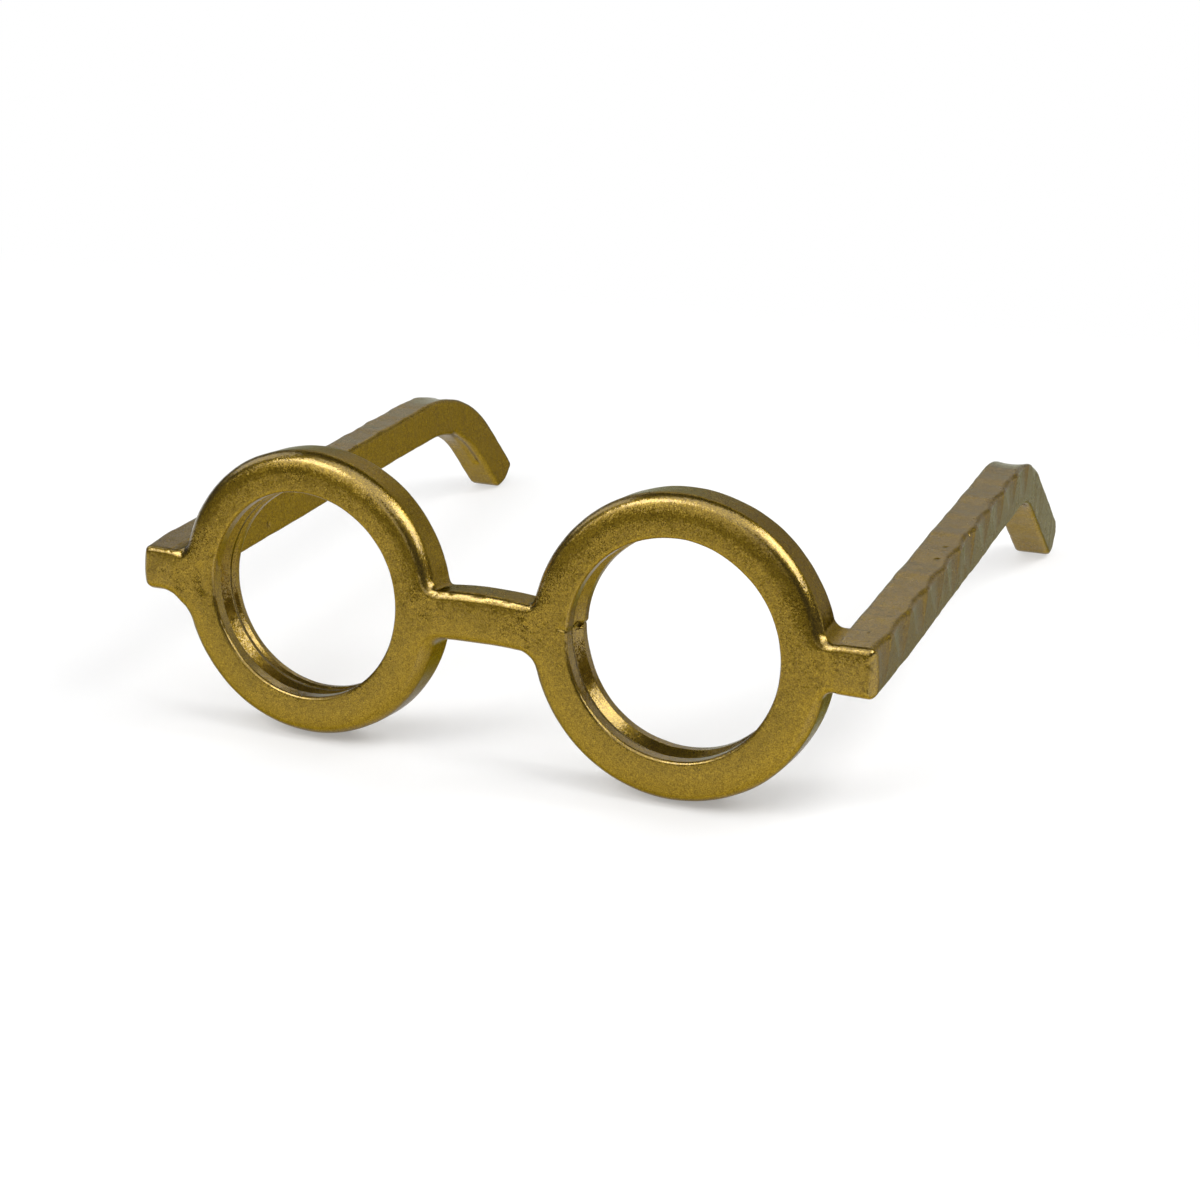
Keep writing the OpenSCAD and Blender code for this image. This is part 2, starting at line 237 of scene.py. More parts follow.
def temple_axes(x, y, z, side):
    """The temple's frame."""
    up = z - TEMPLE_RAISE
    along = y * cos(TEMPLE_CLIMB) + up * sin(TEMPLE_CLIMB)
    return side * x - FLANK_X, along, up * cos(TEMPLE_CLIMB) - y * sin(TEMPLE_CLIMB)


def scallops(y, first, depth, share=1):
    """Depth of a row of shallow hollows, one each RIPPLE_PITCH, the first at the given place."""
    off = (y - first + RIPPLE_PITCH / 2) % RIPPLE_PITCH - RIPPLE_PITCH / 2
    hollow = depth * np.maximum(share - (2 * off / (RIPPLE_PITCH - RIPPLE_LAND)) ** 2, 0)
    return np.where(y > first - RIPPLE_PITCH / 2, hollow, 0)


def bend_start(side):
    """Length of the temple in front of its bend."""
    return LENGTH[side] - (BEND_R[side] + TEMPLE_H) * tan(HOOK_ANGLE[side] / 2)


def hook_end(side):
    """Length of the bar along its middle, at which its end, before it is ground, reaches under the table."""
    angle, mid = HOOK_ANGLE[side], BEND_MIDDLE_R[side]
    slope = TEMPLE_CLIMB - LEAN
    along, up = bend_start(side) + mid * sin(angle), mid * (cos(angle) - 1)
    start = LIFT + TEMPLE_RAISE * cos(LEAN) + along * sin(slope) + up * cos(slope)
    down = angle - slope
    toe = TOE_ROUND[side]
    drop = start + (toe - TEMPLE_H / 2) * cos(down) - toe + FOOT_TRIM
    return bend_start(side) + mid * angle + toe + drop / sin(down)


def unbent(along, up, side):
    """Length along the middle of the bent bar, and height above its middle."""
    angle, mid, start = HOOK_ANGLE[side], BEND_MIDDLE_R[side], bend_start(side)
    past, over = along - start, up + mid
    turned = np.clip(np.arctan2(past, over), 0, angle)
    in_bend = (past > 0) & (turned < angle)
    on_hook = (past > 0) & ~in_bend
    length = np.where(in_bend, start + mid * turned, along)
    above = np.where(in_bend, np.hypot(past, over) - mid, up)
    hook_length = start + mid * angle + past * cos(angle) - over * sin(angle)
    length = np.where(on_hook, hook_length, length)
    above = np.where(on_hook, past * sin(angle) + over * cos(angle) - mid, above)
    return length, above


def temple(x, y, z, side):
    """A temple's bar with its hook, without a front face."""
    out, along, up = temple_axes(x, y, z, side)
    length, above = unbent(along, up, side)

    # The top is dished in the bend, and scallops cross the top and the outer side
    start, half_bend = bend_start(side), BEND_MIDDLE_R[side] * HOOK_ANGLE[side] / 2
    bent = np.exp(-((length - (start + half_bend)) / (half_bend + DISH_RUN_OUT)) ** 2)
    across = (out - TEMPLE_W / 2) / (TEMPLE_W / 2)
    dish = BEND_DISH * bent * np.maximum(1 - across ** 2, 0)
    first = RIPPLE_START[side]
    before_bend = ease((start - length) / TEMPLE_H)
    top_ripple = scallops(along, first + RIPPLE_PITCH / 2, TOP_RIPPLE_DEPTH) * before_bend
    share = np.clip((up + TEMPLE_H / 2 - RIPPLE_END) / (TEMPLE_H - RIPPLE_END), 0, 1)
    side_ripple = scallops(along, first, RIPPLE_DEPTH, share)

    top = above - TEMPLE_H / 2 + dish + top_ripple
    bottom = -above - TEMPLE_H / 2
    bulge = END_BULGE[side] * (up / (TEMPLE_H / 2)) ** 2 * ease(1 - along / (2 * TEMPLE_H))
    outer = out - TEMPLE_W + side_ripple + bulge
    side_faces = np.maximum(outer, -out)
    edge = TEMPLE_ROUND + FRONT_CORNER_SOFTER[side] * ease(1 - along / TEMPLE_H)
    bar = round_max(np.maximum(top, bottom), side_faces, edge)
    end = length - hook_end(side)
    heel = round_max(end, top, HEEL_ROUND[side])
    tip = np.maximum(heel, round_max(end, bottom, TOE_ROUND[side]))
    return np.maximum(np.maximum(bar, tip), round_max(end, side_faces, TIP_SIDE_ROUND))


def lug(x, y, z, side):
    """Weld metal between a rim and the temple beside it, without a front face."""
    out, _, up = temple_axes(x, y, z, side)
    section = round_max(abs(up) - TEMPLE_H / 2 + WELD_LOWER, y - RIM_DEPTH + WELD_INSET, TEMPLE_ROUND)
    return np.maximum(section, abs(out) - TEMPLE_W / 2)


def welded_bars(x, y, z, upper):
    """All bars with the hollow corners of their welds, without a front face."""
    left_rim = rim(x + RIM_X, y, z * (1 + LEFT_RIM_FLATTER / RIM_R), LEFT)
    rims = np.minimum(left_rim, rim(x - RIM_X, y, z, RIGHT))
    bridge_top = mix(BRIDGE_HOLLOW_TOP[LEFT], BRIDGE_HOLLOW_TOP[RIGHT], ease(x / BRIDGE_HALF + 0.5))
    whole = round_min(rims, bridge(x, y, z), mix(BRIDGE_HOLLOW_BOTTOM, bridge_top, upper))
    for side in (LEFT, RIGHT):
        arm = np.minimum(temple(x, y, z, side), lug(x, y, z, side))
        whole = round_min(whole, arm, mix(TEMPLE_HOLLOW_BOTTOM[side], TEMPLE_HOLLOW_TOP, upper))
    return whole


def front_rounding(x, y, z, upper):
    """Radius of the edges around the front face. The lips, the rims and each bar have their own."""
    r = np.hypot(abs(x) - RIM_X, z)
    out, _, up = temple_axes(x, y, z, np.sign(x))
    end_round = mix(by_side(x, END_BOTTOM_ROUND), END_TOP_ROUND, upper)
    on_outer_side = ease(0.5 + (out - TEMPLE_W + TEMPLE_H / 2 - abs(up)) / MITRE_CHANGE)
    end_round = mix(end_round, END_SIDE_ROUND, on_outer_side)
    bar_round = np.where(abs(x) < RIM_X, BRIDGE_ROUND, end_round)
    on_bar = ease((r - RIM_R + ROUND_CHANGE_INSIDE) / ROUND_CHANGE)
    outer_round = mix(by_side(x, RIM_FRONT_ROUND), bar_round, on_bar)
    return np.where(r < BAR_MIDDLE, LIP_ROUND, outer_round)


def front_fall(x, z, whole):
    """How far the front face falls back, given the distance from the sides of the bars."""
    r = np.hypot(abs(x) - RIM_X, z)
    bar_fall = PILLOW * np.clip(1 + whole / (BAR / 2), 0, PILLOW_LIMIT) ** 2
    outside_ridge = np.clip((r - BORE_R - RIDGE * BAR) / ((1 - RIDGE) * BAR), 0, 1)
    away_from_bars = ease((abs(z) - BRIDGE_H / 2 + FLAT_SHORTER) / FLAT_RUN_OUT)
    outer_fall = mix(PILLOW, by_side(x, RIM_PILLOW), away_from_bars) * outside_ridge ** 2
    rim_fall = np.where(r < BORE_R + RIDGE * BAR, INSIDE_RIDGE * bar_fall, outer_fall)
    return mix(rim_fall, bar_fall, ease((r - RIM_R) / PILLOW_CHANGE))


def body(q):
    """Distance from the smooth weldment, in the front's frame. Inside it is negative."""
    x, y, z = q.T
    # 0 at the bottom of the bridge and 1 at its top
    upper = ease(0.5 + (z - BRIDGE_RAISE) / BRIDGE_H)
    whole = welded_bars(x, y, z, upper)
    whole = round_max(whole, front_fall(x, z, whole) - y, front_rounding(x, y, z, upper))
    ground_round = np.where(y > HOOKS_FROM, TIP_GROUND_ROUND, GROUND_ROUND)
    return round_max(whole, -height(y, z), ground_round)


class Waves:
    """Smooth unevenness from sine waves of about the given length, with about the given height in all.

    The pace says how fast it changes along X, Y and Z.
    """

    def __init__(self, seed, length, height, count=10, pace=(1, 1, 1)):
        rng = np.random.default_rng(seed)
        way = rng.normal(size=(count, 3))
        way /= np.linalg.norm(way, axis=1)[:, None]
        way *= pace
        self.ways = way * (2 * pi / length / rng.uniform(0.7, 1.5, count))[:, None]
        self.starts = rng.uniform(0, 2 * pi, count)
        self.height = height

    def __call__(self, q):
        waves = np.sin(q @ self.ways.T + self.starts)
        return self.height * (waves.sum(1) / np.sqrt(len(self.starts) / 2))


slow = Waves(seed=3, length=38, height=0.09)
quick = Waves(seed=5, length=9, height=0.02)
hammered = Waves(seed=11, length=11, height=0.05, count=14, pace=(0.15, 1, 0.2))
chatter = Waves(seed=23, length=4.5, height=0.012, count=14, pace=(0.12, 1, 0.25))
pitted = Waves(seed=17, length=2.8, height=0.018, count=24)

# The hammering starts inside the temples' inner sides and behind the front, and sets in over a length
HAMMERED_INSIDE, HAMMERED_SIDE_CHANGE = 2, 5
HAMMERED_BEHIND, HAMMERED_CHANGE = 12, 15
# The welds are pitted around places a little below the middle of the rims
PITTED_LOWER = 3
PITTED_REACH = 7.0

# Marks left by the work, in the front's frame: depth, width and a line. A negative depth is a bead.
MARKS = [
    # The right rim's seam and blowhole, and a pit beside the bridge
    (0.5, 0.45, [(32.5, 0, 2.3), (35.4, 0, 1.9), (35.4, 4, 1.7), (35.6, 18, 1.5)]),
    (2.2, 0.6, [(34.2, 11.2, 1.5), (34.6, 13.6, 1.1)]),
    (0.5, 0.5, [(19.2, 0, 1.6), (19.4, 0, 1.4)]),
    # Beads along the top of the bridge and on the right temple's weld
    (-0.35, 0.7, [(-20.6, 1.5, 7.2), (-19.6, 1.7, 9.2), (-14, 1.4, 9.6)]),
    (-0.25, 0.8, [(-10, 1.2, 9.7), (-4, 1.2, 9.8)]),
    (-0.3, 0.8, [(3, 1.2, 9.8), (9, 1.2, 9.6)]),
    (-0.35, 0.7, [(13, 1.3, 9.3), (19, 1.5, 8.2)]),
    (-0.1, 0.6, [(131.2, 1.5, 10.3), (135, 1.4, 10.4)]),
    # Dents in the left rim, on its temple's side
    (0.3, 0.8, [(-115.7, 0.4, 11.9), (-115.6, 3.7, 5.6)]),
    (0.3, 1.3, [(-121.8, 0, 5.0), (-121.2, 0, -3.0)]),
    # Pits in the top of the right temple and in the inner side of the left one
    (0.6, 0.5, [(145.1, 89, 23.4), (145.3, 89.4, 23.4)]),
    (0.5, 0.5, [(144.5, 102.1, 25.3), (144.9, 102.6, 25.3)]),
    (0.5, 0.4, [(149.1, 119.5, 27.0), (148.8, 119.9, 27.0)]),
    (0.6, 0.5, [(-134.4, 66.4, 8.9), (-134.4, 66.6, 7.9)]),
    # Creases under the two bends
    (1.1, 1.1, [(-135.0, 228.5, 22.0), (-138.6, 239, 18.6), (-139.2, 248.3, 12.6), (-139.1, 259, 3.4)]),
    (0.9, 0.9, [(146.5, 218.5, 20.6), (145.6, 222, 17.6), (145.4, 225, 14.0)]),
]
MARK_REACH = 4

# Below its seam the right rim's bore lies a little deeper, which runs out further down
JOG_Z, JOG_DEPTH = 1.7, 0.45
JOG_STEP, JOG_RUN_OUT = 0.6, 14
JOG_BEHIND, JOG_INTO_BAR = 1.5, 3


def stroke(q, points, width):
    """1 along a line through the given points, running out to 0 beyond its width."""
    nearest = np.full(len(q), np.inf)
    for a, b in zip(points, points[1:]):
        a, b = np.array(a, float), np.array(b, float)
        t = np.clip((q - a) @ (b - a) / ((b - a) @ (b - a)), 0, 1)
        nearest = np.minimum(nearest, ((q - a - t[:, None] * (b - a)) ** 2).sum(1))
    return np.exp(-nearest / (2 * width ** 2))


def marked(q):
    """How much metal the marks and the step at the seam take off."""
    off = np.zeros(len(q))
    for depth, width, points in MARKS:
        corners = np.array(points, float)
        reach = MARK_REACH * width
        near = ((q > corners.min(0) - reach) & (q < corners.max(0) + reach)).all(1)
        off[near] += depth * stroke(q[near], points, width)

    x, y, z = q.T
    in_bore = (x < RIM_X) & (np.hypot(x - RIM_X, z) < BORE_R + JOG_INTO_BAR) & (y > JOG_BEHIND)
    jog = JOG_DEPTH * ease((JOG_Z - z) / JOG_STEP) * ease(1 + (z - JOG_Z) / JOG_RUN_OUT)
    return off + np.where(in_bore, jog, 0)


def uneven(q):
    """How much metal the unevenness takes off."""
    x, y, z = q.T
    on_temple = ease((abs(x) - FLANK_X + HAMMERED_INSIDE) / HAMMERED_SIDE_CHANGE)
    on_temple = on_temple * ease((y - HAMMERED_BEHIND) / HAMMERED_CHANGE)
    beside_rim = abs(abs(x) - RIM_X) - RIM_R
    at_weld = np.exp(-(beside_rim ** 2 + (z + PITTED_LOWER) ** 2) / 2 / PITTED_REACH ** 2)
    return slow(q) + quick(q) + on_temple * (hammered(q) + chatter(q)) + at_weld * pitted(q)


def shape(q):
    """Distance from the finished surface, which stays inside the CAD model's box."""
    place = to_world(q) * MM
    outside = np.maximum(np.array(cad_low) - place, place - np.array(cad_high)).max(1) / MM
    return np.maximum(body(q) + uneven(q) + marked(q), outside)


# Pieces. A voxel's label is the place in this list, from 1 on, of the piece that it lies in, or else 0.
NODES = [
    "left_rim", "right_rim", "left_rim_closing_weld", "right_rim_closing_weld",
    "bridge", "bridge_weld_left", "bridge_weld_right",
    "left_temple", "right_temple", "left_temple_weld", "right_temple_weld",
]
RIM, CLOSING, BRIDGE, BRIDGE_WELD, TEMPLE, TEMPLE_WELD = 1, 3, 5, 6, 8, 10
IS_RIM = np.array([False] + ["rim" in name for name in NODES])
IS_BRIDGE = np.array([False] + ["bridge" in name for name in NODES])


def borders(q):
    """Distances from the borders between pieces.

    The borders are a rim's outside, into which the welds bite, the sides of its seam, the ends of
    the bridge and the flank of a temple.
    """
    x, _, z = q.T
    beside = abs(x) - RIM_X
    off = np.sign(x) * beside
    over = np.hypot(beside, z) - RIM_R
    return {
        "rim": np.maximum(over, np.minimum(over + WELD_BITE, WELD_REACH - abs(z))),
        "seam": abs(z) - tan(SEAM_HALF) * np.abs(off) + FAR * (off > 0),
        "saw": abs(x) - BRIDGE_HALF,
        "flank": FLANK_X - abs(x),
    }


def territory(q):
    """Label of the piece that a point inside the weldment belongs to."""
    on_right = (q[:, 0] > 0).astype(int)
    b = borders(q)
    of_rim = np.where(b["seam"] < 0, CLOSING, RIM) + on_right
    of_bridge = np.where(b["saw"] < 0, BRIDGE, BRIDGE_WELD + on_right)
    of_temple = np.where(b["flank"] < 0, TEMPLE, TEMPLE_WELD) + on_right
    beyond = np.where(abs(q[:, 0]) < RIM_X, of_bridge, of_temple)
    return np.where(b["rim"] < 0, of_rim, beyond)


def border_between(q, first, second):
    """Distance from the border between two pieces, given by their labels."""
    b = borders(q)
    both_rim = IS_RIM[first] & IS_RIM[second]
    no_rim = ~IS_RIM[first] & ~IS_RIM[second]
    away = np.where(IS_BRIDGE[first], b["saw"], b["flank"])
    return np.where(both_rim, b["seam"], np.where(no_rim, away, b["rim"]))


def slope_of(field, q):
    """Gradient of a field."""
    steps = SLOPE_STEP * np.eye(3)
    return np.stack([field(q + step) - field(q - step) for step in steps], 1) / (2 * SLOPE_STEP)


def slide_onto(field, q):
    """Moves points along the gradient to where the field is zero."""
    value = field(q)
    steps = SLOPE_STEP * np.eye(3)
    gradient = np.stack([field(q + step) - value for step in steps], 1) / SLOPE_STEP
    squared_slope = np.maximum((gradient ** 2).sum(1), LEAST_SQUARED_SLOPE)
    return q - np.clip(value / squared_slope, -VOXEL, VOXEL)[:, None] * gradient


UNIT = np.eye(3, dtype=int)
CORNERS = np.array(list(product((0, 1), repeat=3)))
CELL_EDGES = [(a, b) for a, b in combinations(range(8), 2) if abs(CORNERS[a] - CORNERS[b]).sum() == 1]


def front_frame_box():
    """Lowest and highest corner of the CAD model in the front's frame, with a margin."""
    corners = np.array(list(product(*zip(cad_low, cad_high)))) / MM
    y, z = corners[:, 1] - SHIFT_Y, corners[:, 2] - LIFT
    q = np.stack([corners[:, 0], y * cos(LEAN) - z * sin(LEAN), y * sin(LEAN) + z * cos(LEAN)], 1)
    return q.min(0) - 2 * VOXEL, q.max(0) + 2 * VOXEL


def at_corner(field, i, j, k):
    """A field of some blocks at one corner of each of their cells."""
    return field[:, i:BLOCK + i, j:BLOCK + j, k:BLOCK + k]


def cut_cells():
    """Samples the weldment on a grid, block by block, and finds the cells that a border runs through.

    Returns the grid's lowest corner, the cells with the labels and distances at their corners, and
    the quads between them, each as its four cells and the labels on its lower and its upper side.
    """
    low, high = front_frame_box()
    side = BLOCK * VOXEL
    counts = np.ceil((high - low) / side).astype(int)
    blocks = np.stack(np.meshgrid(*[np.arange(c) for c in counts], indexing="ij"), -1).reshape(-1, 3)
    blocks = blocks[body(low + (blocks + 0.5) * side) < HALF_DIAGONAL * side + BLOCK_MARGIN]
    grid = np.stack(np.meshgrid(*[np.arange(BLOCK + 1)] * 3, indexing="ij"), -1)
    span = counts * BLOCK + 2

    def key(cell):
        return (cell[..., 0] * span[1] + cell[..., 1]) * span[2] + cell[..., 2]

    cells, cell_labels, cell_values, quads = [], [], [], []
    for first in range(0, len(blocks), BLOCKS_AT_ONCE):
        index = blocks[first:first + BLOCKS_AT_ONCE, None, None, None] * BLOCK + grid
        q = low + index.reshape(-1, 3) * VOXEL
        value = body(q)
        label = np.where(value < 0, territory(q), 0).reshape(index.shape[:-1])
        value = value.reshape(index.shape[:-1])

        cell = index[:, :-1, :-1, :-1]
        labels = np.stack([at_corner(label, *corner) for corner in CORNERS], -1)
        values = np.stack([at_corner(value, *corner) for corner in CORNERS], -1)
        mixed = (labels != labels[..., :1]).any(-1)
        cells.append(cell[mixed])
        cell_labels.append(labels[mixed])
        cell_values.append(values[mixed])
        for axis in range(3):
            ahead, across, up = UNIT[axis], UNIT[(axis + 1) % 3], UNIT[(axis + 2) % 3]
            lower, upper = at_corner(label, 0, 0, 0), at_corner(label, *ahead)
            cut = lower != upper
            at = cell[cut]
            around = np.stack([key(at - across - up), key(at - up), key(at), key(at - across)], 1)
            quads.append((around, lower[cut], upper[cut]))

    cells, labels, values = [np.concatenate(some) for some in (cells, cell_labels, cell_values)]
    around, lower, upper = [np.concatenate(some) for some in zip(*quads)]
    order = np.argsort(key(cells))
    around = np.searchsorted(key(cells[order]), around)
    return low, (cells[order], labels[order], values[order]), (around, lower, upper)


def first_places(cells, labels, values):
    """In each cell the mean of the points where its edges cross the surface, or else a border."""
    at_surface = (labels == 0).any(1)
    total, weight = np.zeros((len(cells), 3)), np.zeros(len(cells))
    for a, b in CELL_EDGES:
        out_of_metal = at_surface & ((labels[:, a] == 0) != (labels[:, b] == 0))
        to_neighbour = ~at_surface & (labels[:, a] != labels[:, b])
        fall = np.where(out_of_metal, values[:, a] - values[:, b], 1)
        t = np.where(at_surface, values[:, a] / fall, 0.5)
        point = CORNERS[a] + t[:, None] * (CORNERS[b] - CORNERS[a])
        crossing = out_of_metal | to_neighbour
        total += np.where(crossing[:, None], point, 0)
        weight += crossing
    return cells + total / weight[:, None]


def settle(q, labels, at_surface):
    """Slides the vertices onto the borders between their pieces and onto the finished surface."""
    highest = labels.max(1)
    lowest = np.where(labels == 0, len(NODES) + 1, labels).min(1)
    on_border = lowest != highest
    first, second = lowest[on_border], highest[on_border]
    for _ in range(SETTLE_ROUNDS):
        q[on_border] = slide_onto(lambda p: border_between(p, first, second), q[on_border])
        q[at_surface] = slide_onto(shape, q[at_surface])


def voxel_mesh():
    """The weldment cut into its pieces: vertices, their normals and the faces of each piece."""
    low, (cells, labels, values), (around, lower, upper) = cut_cells()
    q = low + first_places(cells, labels, values) * VOXEL
    at_surface = (labels == 0).any(1)
    settle(q, labels, at_surface)
    normal = np.zeros_like(q)
    gradient = slope_of(shape, q[at_surface])
    normal[at_surface] = gradient / np.linalg.norm(gradient, axis=1)[:, None]

    faces = {}
    for number, name in enumerate(NODES, 1):
        ahead, behind = lower == number, upper == number
        quads = np.concatenate([around[ahead], around[behind][:, ::-1]])
        is_open = np.concatenate([upper[ahead] == 0, lower[behind] == 0])
        faces[name] = (quads, is_open)
    return q, normal, faces


def make_piece(name, q, normal, quads, is_open, material):
    """One closed mesh. Its outer faces take the field's own normals, so that no border shows."""
    used, corners = np.unique(quads, return_inverse=True)
    corners = corners.reshape(quads.shape)
    mesh = bpy.data.meshes.new(name)
    mesh.from_pydata((to_world(q[used]) * MM).tolist(), [], corners.tolist())
    mesh.update()
    mesh.shade_smooth()
    flat = np.empty(len(quads) * 3)
    mesh.polygons.foreach_get("normal", flat)
    by_corner = turn_to_world(normal[used])[corners]
    by_corner[~is_open] = flat.reshape(-1, 3)[~is_open][:, None]
    mesh.normals_split_custom_set(by_corner.reshape(-1, 3).tolist())
    mesh.materials.append(material)
    piece = bpy.data.objects.new(name, mesh)
    bpy.context.scene.collection.objects.link(piece)
    return piece


class Nodes:
    """Short ways to build a material's nodes."""

    def __init__(self, name):
        self.material = bpy.data.materials.new(name)
        self.material.use_nodes = True
        self.tree = self.material.node_tree
        self.shader = self.tree.nodes["Principled BSDF"]
        self.place = self.tree.nodes.new("ShaderNodeTexCoord").outputs["Object"]

    def fill(self, node, values):
        """Sets a node's own inputs."""
        for name, value in values.items():
            node.inputs[name].default_value = value

    def add(self, kind, values=None, **settings):
        node = self.tree.nodes.new(kind)
        for name, value in settings.items():
            setattr(node, name, value)
        self.fill(node, values or {})
        return node

    def link(self, source, socket):
        self.tree.links.new(source, socket)

    def split(self, source):
        """X, Y and Z of a vector."""
        node = self.add("ShaderNodeSeparateXYZ")
        self.link(source, node.inputs["Vector"])
        return node.outputs

    def noise(self, scale, detail):
        node = self.add("ShaderNodeTexNoise", {"Scale": scale, "Detail": detail, "Roughness": 0.5})
        self.link(self.place, node.inputs["Vector"])
        return node.outputs["Fac"]

    def ramp(self, source, stops):
        """Runs through colours, or through greys where a stop has a single value."""
        node = self.add("ShaderNodeValToRGB")
        self.link(source, node.inputs["Fac"])
        elements = node.color_ramp.elements
        while len(elements) < len(stops):
            elements.new(0.5)
        for stop, (position, colour) in zip(elements, stops):
            stop.position = position
            stop.color = (*colour, 1) if isinstance(colour, tuple) else (colour, colour, colour, 1)
        return node.outputs["Color"]

    def spread(self, source, source_range, new_range):
        """Maps one range of a value onto another."""
        names = ("From Min", "From Max", "To Min", "To Max")
        node = self.add("ShaderNodeMapRange", dict(zip(names, (*source_range, *new_range))))
        self.link(source, node.inputs["Value"])
        return node.outputs["Result"]

    def math(self, operation, first, second):
        node = self.add("ShaderNodeMath", operation=operation)
        self.link(first, node.inputs[0])
        self.link(second, node.inputs[1])
        return node.outputs["Value"]

    def vector(self, operation, first, second=None, scale=None):
        """Vector arithmetic with a second input that is a socket or constant numbers."""
        node = self.add("ShaderNodeVectorMath", operation=operation)
        self.link(first, node.inputs[0])
        if isinstance(second, tuple):
            node.inputs[1].default_value = second
        elif second is not None:
            self.link(second, node.inputs[1])
        if scale is not None:
            self.link(scale, node.inputs["Scale"])
        return node.outputs["Value" if operation == "DISTANCE" else "Vector"]


# Weight of the paint's pale film, by how far a face is turned from the front, at 0, to aside, at 1
FILM_BY_TURN = [(0.05, 0.28), (0.15, 0.85), (0.6, 0.85), (0.85, 0.14)]
BORE_FILM_BY_TURN = [(0.6, 0.0), (0.85, 0.45)]
TEMPLE_FILM = 0.37
FILM_BELOW = 0.12
# In millimetres: how far the film changes on each side of a temple's flank, and where past a bore it ends
FILM_CHANGE = 2
BORE_FILM_END = (5, 8)

# Middle of the blowhole, and the distances in millimetres between which its painted shade runs out
BLOWHOLE = (34.4, 12.4, 1.3)
HOLE_SHADE_END = (0.7, 1.5)
HOLE_SHADE_LEAVES = 0.08

GOLD_SHADES = [
    (0.3, (0.168, 0.1, 0.006)),
    (0.5, (0.27, 0.171, 0.012)),
    (0.7, (0.4, 0.265, 0.024)),
]
TINT_ABOVE, TINT_BELOW = (0.3, 0.33, 0.13), (0.7, 0.7, 0.7)
FLAKES_PER_METRE = 2400
FLAKE_TILT = 0.12


def in_metres(sizes):
    return tuple(size * MM for size in sizes)


def film_weight(n, facing):
    """A pale film has run to the front's edges, into the bores and over the temples, but hardly below."""
    turned = n.spread(facing["Y"], (-1, 0), (0, 1))
    aside = n.split(n.vector("ABSOLUTE", n.place))
    flank = in_metres((FLANK_X - FILM_CHANGE, FLANK_X + FILM_CHANGE))
    on_temple = n.spread(aside["X"], flank, (0, TEMPLE_FILM))
    film = n.vector("MAXIMUM", n.ramp(turned, FILM_BY_TURN), on_temple)

    # Without depth, and with the left side folded onto the right, one distance serves both bores
    folded = n.vector("ABSOLUTE", n.vector("MULTIPLY", n.place, (1, 0, 1)))
    from_axis = n.vector("DISTANCE", folded, in_metres((RIM_X, 0, LIFT)))
    near_bore = n.spread(from_axis, in_metres(BORE_R + end for end in BORE_FILM_END), (1, 0))
    in_bore = n.vector("SCALE", n.ramp(turned, BORE_FILM_BY_TURN), scale=near_bore)
    film = n.vector("MAXIMUM", film, in_bore)
    return n.vector("SCALE", film, scale=n.spread(facing["Z"], (-0.3, 0.3), (FILM_BELOW, 1)))


def gold_colour(n, facing, grain):
    """Shades of gold, mottled, with painted shade: faces turned aside from the front are darker."""
    colour = n.ramp(grain, GOLD_SHADES)
    # Painted shade: the colour darkens on faces turned aside from the front
    colour = n.vector("SCALE", colour, scale=n.spread(facing["Y"], (-0.6, -0.1), (1, 0.7)))
    mottle = n.spread(n.noise(scale=650, detail=2), (0.35, 0.65), (0.9, 1.1))
    return n.vector("SCALE", colour, scale=mottle)


def flake_normal(n, upright, grain):
    """Each flake of the paint is tilted its own way, under a sandy grain."""
    flakes = n.add("ShaderNodeTexVoronoi", {"Scale": FLAKES_PER_METRE})
    n.link(n.place, flakes.inputs["Vector"])
    tilt = n.vector("SUBTRACT", flakes.outputs["Color"], (0.5, 0.5, 0.5))
    tilt = n.vector("MULTIPLY", tilt, (FLAKE_TILT, FLAKE_TILT, FLAKE_TILT))
    bump = n.add("ShaderNodeBump", {"Strength": 0.2, "Distance": 0.0001})
    n.link(grain, bump.inputs["Height"])
    n.link(n.vector("NORMALIZE", n.vector("ADD", upright, tilt)), bump.inputs["Normal"])
    return bump.outputs["Normal"]


def gold_paint():
    """Metallic gold paint: tilted flakes over a sandy grain, under a thin glossy film."""
    n = Nodes("gold_paint")
    inputs = n.shader.inputs
    n.fill(n.shader, {"Metallic": 1.0, "Coat Roughness": 0.12, "Coat IOR": 1.7})
    upright = n.add("ShaderNodeNewGeometry").outputs["Normal"]
    facing = n.split(upright)
    grain = n.noise(scale=2000, detail=2)
    blowhole = in_metres(to_world(np.array([BLOWHOLE]))[0])
    from_hole = n.vector("DISTANCE", n.place, blowhole)
    # Painted shade: colour and film darken towards the blowhole, standing in for the shade in its pit
    hole_shade = n.spread(from_hole, in_metres(HOLE_SHADE_END), (HOLE_SHADE_LEAVES, 1))

    n.link(n.vector("SCALE", gold_colour(n, facing, grain), scale=hole_shade), inputs["Base Color"])
    n.link(n.vector("SCALE", film_weight(n, facing), scale=hole_shade), inputs["Coat Weight"])
    below = n.spread(facing["Z"], (-0.6, -0.2), (1, 0))
    n.link(n.ramp(below, [(0, TINT_ABOVE), (1, TINT_BELOW)]), inputs["Specular Tint"])
    n.link(n.spread(n.noise(scale=60, detail=3), (0.3, 0.7), (0.25, 0.31)), inputs["Roughness"])
    normal = flake_normal(n, upright, grain)
    n.link(normal, inputs["Normal"])
    n.link(normal, inputs["Coat Normal"])
    return n.material


